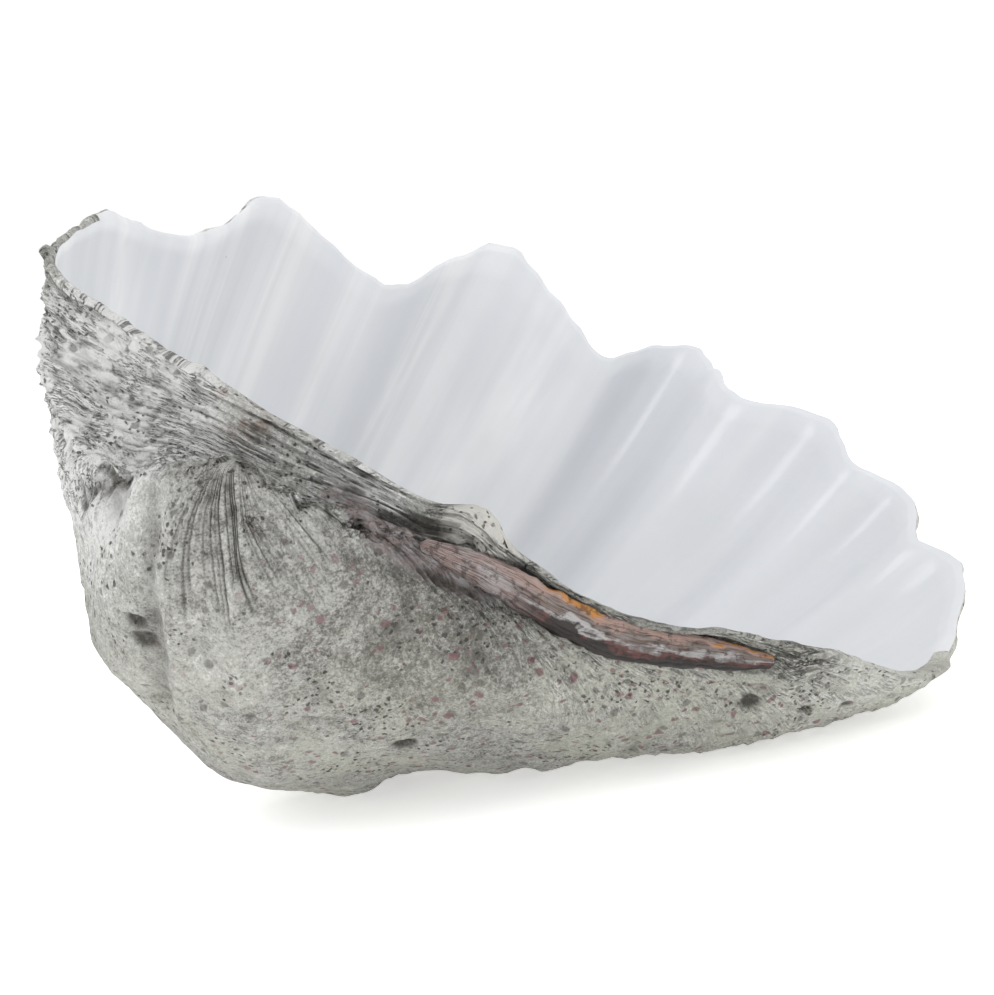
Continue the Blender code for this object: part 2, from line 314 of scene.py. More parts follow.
# Painted shade in the cracks between the folds, and how much of the other painted shade the folds take
# away.
FOLD_SHADE = 0.70
FOLD_SHADE_CUT = 0.6

# The thick flaky front corner: middle and reach, and how much rougher it is.
FRONT_CORNER = ((-0.345, 0.085, -0.020), 0.100)
CORNER_HEIGHT = 0.0040

# Noise of the crust's colour: scale for each metre, detail and roughness, and each one's share of the tone.
BROAD = (11.0, 5.0, 0.6)
MIDDLE = (55.0, 6.0, 0.65)
FINE = (260.0, 5.0, 0.7)
GRIT = (620.0, 4.0, 0.75)
TONE_SHARES = (0.45, 0.60, 0.75, 0.85)
# Round marks: how many for each metre, where they end as a share of their spacing, and which are chosen.
SPECKS_PER_METRE = 190.0
SPECK_EDGE = (0.14, 0.30)
DARK_STAINS = (84.0, (0.20, 0.34), (0.60, 0.64))
RED_SPOTS = ((76.0, (0.16, 0.30), (0.62, 0.65)), (125.0, (0.16, 0.30), (0.60, 0.63)))
PEARL_DOTS = (17.0, (0.012, 0.022))

# Lighter and darker stretches of the crust, one of them painted light: middle, reach and change of tone.
TONES_WITH_PAINTED_LIGHT = (
    ((-0.040, -0.100, -0.070), 0.130, -0.19),
    ((-0.175, -0.110, -0.080), 0.070, -0.08),
    ((-0.130, -0.045, -0.015), 0.070, 0.14),
    # The front wall: chalk, and painted light where the wall faces the key light.
    ((-0.285, 0.020, -0.070), 0.140, 0.64),
    ((-0.240, -0.080, -0.110), 0.080, 0.04),
    ((0.280, -0.030, -0.015), 0.110, 0.20),
    ((-0.190, -0.050, -0.200), 0.090, -0.04),
    ((-0.205, -0.018, -0.014), 0.060, 0.12),
    ((-0.085, -0.057, -0.015), 0.055, 0.24),
)
# The thin far margin is paler, up to this much turn angle from its edge.
RIM_BAND = (0.02, 0.08)
RIM_TONE = 0.22
# The cracks between flakes of crust fade out towards the cap.
CRACK_TURNS = (1.2, 1.6)
# The green tinge fades with height, and the red crusts keep to the right of the beak and off the hinge.
GREEN_HEIGHTS = (0.03, 0.22)
RED_ALONG = (-0.24, -0.06)
RED_BELOW = (0.02, 0.06)
# The bowl is creamier near the hinge, and towards the back cooler in tint and greyer with painted shade.
CREAM_DEPTHS = (-0.03, 0.10)
COOL_SHADED_BACK = (-0.050, 0.200)
# The painted shade beside the ligament starts behind the tooth: where, how strong, and how wide for its
# trough.
CREVICE_START = (-0.060, 0.000)
CREVICE_FILL = 1.35
CREVICE_WIDTH = 0.85

# The chewed white lump of the hinge tooth, streaks of dirt where the ligament ends, and the rusty patch
# beside the beak: middle and reach. The stained stretch in front of the ligament is a line and its reach.
TOOTH_LUMP = ((-0.022, -0.068, -0.006), 0.040)
TOOTH_LUMP_HEIGHT = 0.0075
# How much of the painted groove shade the tooth lump takes away.
TOOTH_SHADE_CUT = 0.8
STREAKED = ((0.218, -0.064, -0.012), 0.040)
RUSTY = ((-0.190, -0.018, -0.004), 0.030)
STAINED_LINE = (
    (-0.115, -0.062, -0.022), (-0.085, -0.080, -0.024), (-0.050, -0.085, -0.027),
    (-0.015, -0.085, -0.030),
)
STAINED_REACH = 0.022
# Behind the tooth the hinge line dips: middle and reach, and how far.
HINGE_DIP = ((0.075, -0.080, -0.012), 0.095)
HINGE_DIP_DEPTH = 0.012
# The back end, where the crust comes over the edge into the bowl.
CRUST_OVER_PLACES = (9.85, 10.75)
# Where the pearl comes half over the edge.
PALE_EDGE_PLACES = (3.75, 9.85)

# The ligament's layers: ridges across it, and how far they waver along its length and across it.
LAYER_RIDGES = 6
LAYER_WAVER = 0.35
WAVER_COUNTS = (16, 5)
WAVER_SEEDS = (61, 62)
WAVER_FINER = 2.7
LIGAMENT_NOISE = (0.010, 3, 81)
LIGAMENT_ROUGHNESS = 0.6
# Stretches that keep their orange edge, as shares of its length, and the younger left end.
ORANGE_STRETCHES = ((0.37, 0.10), (0.92, 0.16))
ORANGE_EDGE = (0.0, 0.4)
YOUNG_STRETCH = (0.16, 0.34)


def smooth_curve(points, where, closed):
    """Catmull-Rom curve: each span is the cubic through two points with the slopes of their neighbours."""
    count = len(points)
    step = np.floor(where).astype(int)
    part = (where - step)[..., None]
    if closed:
        before, first, second, after = (points[(step + k) % count] for k in (-1, 0, 1, 2))
    else:
        before, first, second, after = (points[np.clip(step + k, 0, count - 1)] for k in (-1, 0, 1, 2))
    return 0.5 * (
        2 * first
        + (second - before) * part
        + (2 * before - 5 * first + 4 * second - after) * part**2
        + (3 * first - before - 3 * second + after) * part**3
    )


def ease(where, places, values):
    """Values at the places joined by half cosine steps."""
    step = np.clip(np.searchsorted(places, where) - 1, 0, len(places) - 2)
    part = np.clip((where - places[step]) / (places[step + 1] - places[step]), 0, 1)
    part = (1 - np.cos(pi * part)) / 2
    return values[step] * (1 - part) + values[step + 1] * part


def unit(vectors):
    """Each vector over its length."""
    return vectors / np.maximum(np.linalg.norm(vectors, axis=-1, keepdims=True), 1e-12)


def inside(value, span):
    """1 between the ends of the span, 0 outside it."""
    return ((value > span[0]) & (value < span[1])).astype(int)


def smooth_step(value, span):
    """0 before the span, 1 after it, three part squared less two part cubed between."""
    part = np.clip((value - span[0]) / (span[1] - span[0]), 0, 1)
    return part * part * (3 - 2 * part)


def grow(points, turn):
    """The arm from the beak turned about the growth axis and shrunk exponentially with the turn angle."""
    axis = unit(GROWTH_AXIS)
    size = np.exp(-(SHRINK * turn + SHRINK_GAIN * np.maximum(turn, 0) ** 2 / 2))[..., None]
    arm = points - BEAK
    cos, sin = np.cos(turn)[..., None], np.sin(turn)[..., None]
    across = np.cross(np.broadcast_to(axis, arm.shape), arm)
    along = axis * (arm @ axis)[..., None]
    return BEAK + size * (arm * cos + across * sin + along * (1 - cos))


def rim_at(place):
    """A point of the plain rim, and the level direction square to the rim that leads out of the shell."""
    point = smooth_curve(RIM, place, closed=True)
    ahead, behind = (smooth_curve(RIM, place + step, closed=True) for step in (RIM_STEP, -RIM_STEP))
    run = ahead - behind
    out = np.stack((run[..., 1], -run[..., 0], np.zeros_like(run[..., 0])), axis=-1)
    side = np.sign(np.sum((point - RIM.mean(axis=0)) * out, axis=-1, keepdims=True))
    return point, unit(out * side)


def rib_relief(place, turn):
    """Rib depth times the eased rib height, on rib lines that spread about the middle rib, plus the cap."""
    spread = np.interp(turn, FAN_TURNS, FAN_SPREADS)
    shift = np.interp(turn, FAN_TURNS, FAN_SHIFTS)
    height = ease(MIDDLE_RIB + (place - MIDDLE_RIB - shift) / spread, RIB_PLACES, RIB_HEIGHTS)
    ribbed = ease(place, RIBBED_PLACES, RIBBED_SHARES)
    worn = smooth_step(turn, RIB_FADE_TURNS)
    depth = MARGIN_RIB_DEPTH * (1 - worn) + UMBO_RIB_DEPTH * worn
    keel = np.exp(-(((place - MIDDLE_RIB) / KEEL_WIDTH) ** 2))
    cap = CAP_ROUNDING * (1 - 2 * keel) * smooth_step(turn, CAP_TURNS)
    return ribbed * (depth * (height - 1) / 2 + cap)


def margin_turn(place):
    """Less than zero on a lobe: a cubic joins the stated reaches of the margin."""
    places, reach = MARGIN_REACH.T
    slope = np.gradient(reach, places)
    slope[[0, -1]] = 0
    step = np.clip(np.searchsorted(places, place) - 1, 0, len(places) - 2)
    span = places[step + 1] - places[step]
    part = np.clip((place - places[step]) / span, 0, 1)
    rest = 1 - part
    ends = (1 + 2 * part) * rest**2 * reach[step] + part**2 * (3 - 2 * part) * reach[step + 1]
    bend = span * part * rest * (rest * slope[step] - part * slope[step + 1])
    return -(ends + bend)


def outer_face(place, turn):
    """The rim moved out by the rib relief, then carried back in growth by the turn angle."""
    point, out = rim_at(place)
    return grow(point + out * rib_relief(place, turn)[..., None], turn)


def bowl_face(place, turn):
    """The outer face moved in by the wall and drawn to the bowl's centre along a quarter ellipse."""
    point, out = rim_at(place)
    wall = ease(place, WALL_PLACES, WALLS)
    point = point + out * (rib_relief(place, turn) - wall)[..., None]
    point[..., 2] -= HINGE_SLOPE * (wall - MARGIN_WALL)
    share = np.sqrt(np.clip(1 - (np.maximum(turn, 0) / BOWL_TURN) ** 2, 0, 1))
    return grow(BOWL_CENTRE + (point - BOWL_CENTRE) * share[..., None], turn)


def nearness(points, middle, reach):
    """One less the squared distance over the reach, squared; 0 past the reach."""
    far = np.linalg.norm(points - np.asarray(middle), axis=-1) / reach
    return np.clip(1 - far**2, 0, 1) ** 2


def nearness_to_line(points, knots, reach):
    """The greatest nearness to any point of the smooth curve through the knots."""
    knots = np.asarray(knots)
    best = np.zeros(points.shape[:-1])
    for knot in smooth_curve(knots, np.linspace(0, len(knots) - 1, CREASE_SAMPLES), closed=False):
        best = np.maximum(best, nearness(points, knot, reach))
    return best


def trough_line(first, last, count):
    """Points of the smooth curve through the trough's places, from the first place to the last."""
    return smooth_curve(TROUGH, np.linspace(first, last, count), closed=False)


def trough_reach(points):
    """For each point the distance to the trough line, to the lip line, and how full the trough is there."""
    line = trough_line(0, len(TROUGH) - 1, TROUGH_SAMPLES)
    best = np.full(points.shape[:-1], np.inf)
    lip = best.copy()
    nearest = np.zeros(points.shape[:-1], int)
    for number, knot in enumerate(line):
        far = np.linalg.norm(points - knot, axis=-1)
        closer = far < best
        best[closer] = far[closer]
        nearest[closer] = number
        lip = np.minimum(lip, np.linalg.norm(points - knot + (0, 0, LIP_DROP), axis=-1))
    full = np.sin(pi * nearest / (TROUGH_SAMPLES - 1)).clip(0) ** TROUGH_END_TAPER
    return best, lip, full


def lattice_noise(points, cells, seed):
    """Random values on a wrapping lattice, blended between its corners by smooth steps: from -1 to 1."""
    table = np.random.default_rng(seed).random(cells)
    base = np.floor(points).astype(int)
    part = points - base
    part = part * part * (3 - 2 * part)
    total = np.zeros(points.shape[:-1])
    for corner in np.ndindex(2, 2, 2):
        index = tuple((base[..., k] + corner[k]) % cells[k] for k in range(3))
        weight = np.prod(np.where(corner, part, 1 - part), axis=-1)
        total += weight * table[index]
    return total * 2 - 1


def fractal(points, size, octaves, seed):
    """Lattice noise added up, each octave half as wide and half as high as the one before."""
    total = np.zeros(points.shape[:-1])
    for octave in range(octaves):
        total += lattice_noise(points / size * 2**octave, NOISE_CELLS, seed + octave) / 2**octave
    return total


def grain(place, turn, around, along, seed):
    """Ridged noise in place and turn: one less twice its size, which gives sharp wavy crests."""
    where = np.stack((place / PLACES * around, turn * along, np.zeros_like(place)), axis=-1)
    return 1 - np.abs(lattice_noise(where, (around, NOISE_CELLS[1], 2), seed)) * 2


def facing(points):
    """Square to the grid: the steps to the next column and row crossed, turned outwards."""
    along = np.roll(points, -1, axis=1) - np.roll(points, 1, axis=1)
    square = unit(np.cross(along, np.gradient(points, axis=0)))
    outer = points[-OUTER_ROWS:]
    side = np.sign(np.sum((outer - outer.mean(axis=(0, 1))) * square[-OUTER_ROWS:], axis=-1).mean())
    return square * side


def plain_valve():
    """Grid from the bowl's floor over the edge to the beak, with each point's place, turn and side."""
    columns = np.interp(np.arange(COLUMN_SHARES[-1]), COLUMN_SHARES, COLUMN_PLACES)
    around = np.zeros((len(columns), 3))
    around[:, 0] = columns / PLACES * MARGIN_STEPS
    ragged = lattice_noise(around, (MARGIN_STEPS, 2, 2), 5)
    ragged += MARGIN_FINER * lattice_noise(around * 2, (2 * MARGIN_STEPS, 2, 2), 6)
    start = margin_turn(columns) + MARGIN_RAGGEDNESS * ragged
    down = np.linspace(0, 1, OUTER_ROWS)[:, None]
    outer_turns = start * (1 - down) ** MARGIN_FADE + BEAK_TURN * down
    outer = outer_face(*np.broadcast_arrays(columns, outer_turns))
    far, lip, full = trough_reach(outer)
    pressed = TROUGH_DEPTH * full * np.clip(1 - (far / TROUGH_HALF_WIDTH) ** 2, 0, 1) ** TROUGH_ROUNDNESS
    raised = LIP_HEIGHT * full * np.clip(1 - (lip / TROUGH_HALF_WIDTH) ** 2, 0, 1)
    outer[..., 1] += pressed - raised
    in_bowl = np.sin(np.linspace(0, pi / 2, BOWL_ROWS + 1))[:-1, None]
    bowl_turns = start * (1 - in_bowl) ** MARGIN_FADE + BOWL_TURN * in_bowl
    bowl = bowl_face(*np.broadcast_arrays(columns, bowl_turns))
    across = np.linspace(0, 1, EDGE_ROWS + 2)[1:-1, None, None]
    wall = np.linalg.norm(outer[0] - bowl[0], axis=-1)[:, None]
    crown = np.sin(pi * across) * np.minimum(wall, 2 * MARGIN_WALL) * EDGE_CROWN
    edge = bowl[0] * (1 - across) + outer[0] * across
    edge = edge + crown * unit(outer[0] - outer[1] + bowl[0] - bowl[1])
    grid = np.concatenate((bowl[::-1], edge, outer))
    grid[..., 2] += TOOTH_HEIGHT * nearness(grid, TOOTH_PLACE, TOOTH_REACH)
    edge_turns = np.broadcast_to(start, (EDGE_ROWS, len(columns)))
    turns = np.concatenate((bowl_turns[::-1], edge_turns, outer_turns))
    outside = np.concatenate((np.zeros(BOWL_ROWS), np.linspace(0, 1, EDGE_ROWS), np.ones(OUTER_ROWS)))
    places, outside = np.broadcast_arrays(columns, outside[:, None])
    return grid, places, turns, outside


def growth_lines(place, turn, bend, off_cap, look):
    """Height, painted groove shade and ledge: sawtooth ledges by the turn angle, and ridged waves off the
    cap.
    """
    front = ease(place, *FRONT_WALL)
    front = np.maximum(front, FAR_SHARE * ease(place, *CAP_PLACES) * (1 - smooth_step(turn, FAR_TURNS)))
    phase = turn * LEDGES_PER_TURN + LEDGE_BEND * bend
    step = phase - np.floor(phase)
    ledge = step**2 * smooth_step(1 - step, LEDGE_EDGE)
    coarse = grain(place + COARSE_BEND[0] * bend, turn + COARSE_BEND[1] * bend, *COARSE_LINES)
    fine = grain(place, turn + FINE_BEND * bend, *FINE_LINES)
    lines = COARSE_SHARE * coarse + (1 - COARSE_SHARE) * fine
    height = look.ledge_height * (LEDGE_LEAST + (1 - LEDGE_LEAST) * front) * (ledge - LEDGE_MEAN)
    raised = LINE_LEAST + (1 - LINE_LEAST) * front
    height = height + look.wrinkle_height * raised * (lines - LINE_MEAN) * off_cap
    # Painted shade in the troughs of the growth lines, stronger on the front wall.
    shade_share = LINE_SHADE_LEAST + (1 - LINE_SHADE_LEAST) * front
    groove = LINE_SHADE * np.clip(LINE_SHADE_BELOW - lines, 0, 1) * shade_share * off_cap
    return height, groove, ledge


def riblet_lines(place, turn, bend):
    """How deep in a riblet's groove each point lies: bell curves across the leaning lines of each group."""
    lean = ease(place, *RIBLET_LEAN)
    across = place + lean * (turn - RIBLET_TURN) + RIBLET_BEND * bend
    chance = np.random.default_rng(71)
    lines = []
    for middle, strong, last in RIBLET_GROUPS:
        for beside in (-2, -1, 0, 1, 2):
            at = middle + beside * RIBLET_SPACING * chance.uniform(0.8, 1.2)
            lines.append((at, strong * chance.uniform(0.3, 1.0), last + chance.uniform(0.0, 0.15)))
    first, final = RIBLET_GROUPS[0][0], RIBLET_GROUPS[-1][0]
    for _ in range(LONE_RIBLETS):
        lines.append((chance.uniform(first - 1, final), LONE_STRENGTH, chance.uniform(*LONE_TURNS)))
    total = np.zeros_like(turn)
    for middle, strong, last in lines:
        bell = np.exp(-(((across - middle) / RIBLET_HALF_WIDTH) ** 2))
        total = np.maximum(total, strong * bell * smooth_step(turn, (last, last + RIBLET_FADE)))
    return total


def root_folds(grid, bend):
    """Where the folds lie, their height and their cracks: the size of noise stretched along them."""
    folded = smooth_step(nearness(grid, *FOLDS), FOLD_EDGE)
    along = grid.copy()
    along[..., 1] += FOLD_SLOPES[0] * grid[..., 0]
    along[..., 2] += FOLD_SLOPES[1] * grid[..., 0]
    along = along / FOLD_SIZE + FOLD_BEND * bend[..., None]
    fold = lattice_noise(along, NOISE_CELLS, FOLD_SEEDS[0])
    fold = np.abs(fold + 0.5 * lattice_noise(along * FOLD_FINER + 0.5, NOISE_CELLS, FOLD_SEEDS[1]))
    height = folded * FOLD_HEIGHT * (fold - FOLD_MEAN) * smooth_step(-grid[..., 2], FOLD_START)
    return folded, height, folded * (1 - smooth_step(fold, FOLD_CRACK))


def small_pits(grid, outside):
    """Height and painted shade of the pits: bowls of chance width at chance points of the outside."""
    height = np.zeros_like(outside)
    groove = np.zeros_like(outside)
    chance = np.random.default_rng(51)
    outer = np.argwhere(outside >= 1)
    for row, column in outer[chance.choice(len(outer), PIT_COUNT, replace=False)]:
        wide = PIT_WIDTHS[0] + PIT_WIDTHS[1] * chance.random() ** 2
        near = nearness(grid, grid[row, column], wide)
        height -= PIT_DEPTH * wide * near
        groove += PIT_SHADE * near
    return height, groove


def holes_and_hollows(grid, rough, lumps):
    """Height and painted shade of the creases, the bored holes and the hollows: each a bowl or a channel.
    """
    height = np.zeros_like(rough)
    groove = np.zeros_like(rough)
    for wide, deep, painted_shade, knots in CREASES:
        near = nearness_to_line(grid, knots, wide)
        height -= deep * near
        groove += painted_shade * near
    ragged = grid + HOLE_RAGGEDNESS * np.stack((rough, lumps, -rough), axis=-1)
    for middle, wide, deep in BORED_HOLES:
        near = nearness(ragged, middle, wide)
        height -= deep * near
        groove += HOLE_SHADE * near
    for middle, wide, deep in HOLLOWS:
        height -= deep * nearness(grid, middle, wide)
        groove += HOLLOW_SHADE * (deep > 0) * nearness(grid, middle, wide * 0.8)
    return height, groove


def weather(grid, place, turn, outside, look):
    """Height of the weathering over the plain face, and the painted shade of its grooves, pits, holes and
    creases, 0 to 1.
    """
    bend, rough, lumps = (fractal(grid, *noise) for noise in (BEND_NOISE, ROUGH_NOISE, LUMP_NOISE))
    on_cap = ease(place, *CAP_PLACES) * smooth_step(turn, CAP_SMOOTH_TURNS)
    height, groove, ledge = growth_lines(place, turn, bend, 1 - on_cap, look)
    riblets = riblet_lines(place, turn, bend)
    height = height - look.riblet_height * riblets
    height = height + look.lump_height * lumps * (1 - 0.5 * on_cap) + look.rough_height * rough
    height = height + CORNER_HEIGHT * nearness(grid, *FRONT_CORNER) * (1.2 * lumps + rough + ledge)
    # Painted shade in the riblets and in the low rough crust.
    groove = groove + RIBLET_SHADE * riblets + ROUGH_SHADE * np.clip(ROUGH_SHADE_BELOW - rough, 0, 1)
    folded, raised, cracks = root_folds(grid, bend)
    height = height + raised
    # The folds carry less painted groove shade, and painted shade lies in their cracks.
    groove = groove * (1 - FOLD_SHADE_CUT * folded) + FOLD_SHADE * cracks
    for raised, painted_shade in (small_pits(grid, outside), holes_and_hollows(grid, rough, lumps)):
        height = height + raised
        groove = groove + painted_shade
    tooth = nearness(grid, *TOOTH_LUMP)
    height = height + tooth * TOOTH_LUMP_HEIGHT * (1 + 0.5 * rough)
    # The tooth lump carries less painted shade.
    groove = groove * (1 - TOOTH_SHADE_CUT * tooth)
    fade = smooth_step(outside, (0.1, 0.9)) * smooth_step(BEAK_TURN - turn, (0.0, 0.35))
    return height * fade, np.clip(groove, 0, 1)


def dip_hinge(points):
    """Points near the hinge line lowered, most at the middle of the dip."""
    return points - np.array((0, 0, HINGE_DIP_DEPTH)) * nearness(points, *HINGE_DIP)[..., None]


def lay_to_rest(points):
    """The growth frame turned about X, Y and Z and moved to where the valve lies."""
    turn = np.array(Euler([radians(a) for a in REST_TURN], "XYZ").to_matrix())
    return np.asarray(points) @ turn.T + REST_PLACE


def closed_surface(name, grid, poles, across, down, fields):
    """A grid whose columns close on themselves, with a pole at each end, its UV map and its fields."""
    rows, columns = grid.shape[:2]
    index = np.arange(rows * columns).reshape(rows, columns)
    beside = np.roll(index, -1, axis=1)
    quads = np.stack((index[:-1], index[1:], beside[1:], beside[:-1]), axis=-1).reshape(-1, 4)
    first = np.full(columns, rows * columns)
    top = np.stack((first, index[0], beside[0]), axis=-1)
    bottom = np.stack((first + 1, beside[-1], index[-1]), axis=-1)
    points = np.concatenate((grid.reshape(-1, 3), poles))
    mesh = bpy.data.meshes.new(name)
    mesh.from_pydata(points.tolist(), [], quads.tolist() + top.tolist() + bottom.tolist())
    wide = np.append(across, 1.0)
    left, right = (np.broadcast_to(w, (rows, columns)) for w in (wide[:-1], wide[1:]))
    corners = (
        (left[:-1], down[:-1]),
        (left[1:], down[1:]),
        (right[1:], np.roll(down, -1, axis=1)[1:]),
        (right[:-1], np.roll(down, -1, axis=1)[:-1]),
    )
    flat = np.stack([np.stack(c, axis=-1) for c in corners], axis=2).reshape(-1, 2)
    caps = []
    for row in (0, -1):
        sides = np.stack((left[row], left[row], right[row]), axis=-1)
        caps.append(np.stack((sides, np.repeat(down[row][:, None], 3, axis=1)), axis=-1).reshape(-1, 2))
    layer = mesh.uv_layers.new(name="growth")
    layer.data.foreach_set("uv", np.concatenate((flat, *caps)).astype(np.float32).ravel())
    for title, values in fields.items():
        field = mesh.attributes.new(title, "FLOAT", "POINT")
        values = np.append(values.reshape(-1), (values[0].mean(), values[-1].mean()))
        field.data.foreach_set("value", values.astype(np.float32))
    mesh.update()
    return mesh


def add_piece(name, mesh, materials, node):
    """A smooth object that rides on the shell's body and stands for a node of the frame."""
    mesh.shade_smooth()
    piece = bpy.data.objects.new(name, mesh)
    for material in materials:
        mesh.materials.append(material)
    bpy.context.scene.collection.objects.link(piece)
    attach(piece, "root")
    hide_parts(node)


class Nodes:
    """Short calls for the nodes of one material."""

    def __init__(self, name, roughness):
        self.material = bpy.data.materials.new(name)
        self.material.use_nodes = True
        self.tree = self.material.node_tree
        self.shader = self.tree.nodes["Principled BSDF"]
        self.shader.inputs["Roughness"].default_value = roughness

    def add(self, kind, **settings):
        node = self.tree.nodes.new("ShaderNode" + kind)
        for key, value in settings.items():
            setattr(node, key, value)
        return node

    def put(self, socket, value):
        """Links another node's output, or sets a number, a vector or an opaque colour."""
        if hasattr(value, "is_output"):
            self.tree.links.new(value, socket)
        elif socket.type == "RGBA":
            socket.default_value = (*value[:3], 1.0)
        else:
            socket.default_value = value

    def maths(self, operation, first, second=0.0, third=0.0):
        node = self.add("Math", operation=operation)
        for socket, value in zip(node.inputs, (first, second, third)):
            self.put(socket, value)
        return node.outputs[0]

    def times(self, first, second):
        return self.maths("MULTIPLY", first, second)

    def spread(self, value, low, high, to_low=0.0, to_high=1.0):
        """The value's stretch from low to high carried to another stretch, smoothly and no further."""
        node = self.add("MapRange", interpolation_type="SMOOTHSTEP")
        for socket, item in zip(node.inputs, (value, low, high, to_low, to_high)):
            self.put(socket, item)
        return node.outputs[0]

    def blend(self, share, first, second):
        """The first colour where the share is 0 and the second where it is 1."""
        node = self.add("Mix", data_type="RGBA")
        for number, value in ((0, share), (6, first), (7, second)):
            self.put(node.inputs[number], value)
        return node.outputs[2]

    def layers(self, value, colour, later):
        """One colour after another, each taking over from the last along its stretch of the value."""
        for low, high, following in later:
            colour = self.blend(self.spread(value, low, high), colour, following)
        return colour

    def noise(self, where, scale, detail=4.0, rough=0.55):
        node = self.add("TexNoise")
        self.put(node.inputs["Vector"], where)
        self.put(node.inputs["Scale"], scale)
        self.put(node.inputs["Detail"], detail)
        self.put(node.inputs["Roughness"], rough)
        return node.outputs[0]

    def dots(self, where, scale, edge, chosen=None):
        """1 near scattered points and 0 past the edge, only where a point's chance value is chosen."""
        node = self.add("TexVoronoi")
        self.put(node.inputs["Vector"], where)
        self.put(node.inputs["Scale"], scale)
        near = self.spread(node.outputs["Distance"], *edge, 1.0, 0.0)
        return self.times(near, self.spread(node.outputs["Color"], *chosen)) if chosen else near

    def field(self, title):
        return self.add("Attribute", attribute_name=title).outputs["Fac"]

    def here(self):
        return self.add("TexCoord").outputs["Object"]

    def shaken(self, where, scale, reach):
        """The place moved a little by coarse noise, so that round cells come out ragged."""
        node = self.add("TexNoise")
        self.put(node.inputs["Vector"], where)
        self.put(node.inputs["Scale"], scale)
        move = self.add("VectorMath", operation="MULTIPLY_ADD")
        self.put(move.inputs[0], node.outputs["Color"])
        self.put(move.inputs[1], (reach, reach, reach))
        self.put(move.inputs[2], where)
        return move.outputs[0]

    def stretched(self, where, shares):
        """The place times its shares, so that a pattern comes out long where a share is small."""
        node = self.add("VectorMath", operation="MULTIPLY")
        self.put(node.inputs[0], where)
        self.put(node.inputs[1], shares)
        return node.outputs[0]

    def along_growth(self, around, along):
        """The growth map stretched, so that a pattern runs along the rib lines."""
        node = self.add("Mapping")
        self.put(node.inputs["Vector"], self.add("UVMap", uv_map="growth").outputs[0])
        self.put(node.inputs["Scale"], (around, along, 1.0))
        return node.outputs[0]

    def bump(self, height, depth, strength=1.0):
        node = self.add("Bump")
        self.put(node.inputs["Height"], height)
        self.put(node.inputs["Distance"], depth)
        self.put(node.inputs["Strength"], strength)
        self.tree.links.new(node.outputs[0], self.shader.inputs["Normal"])


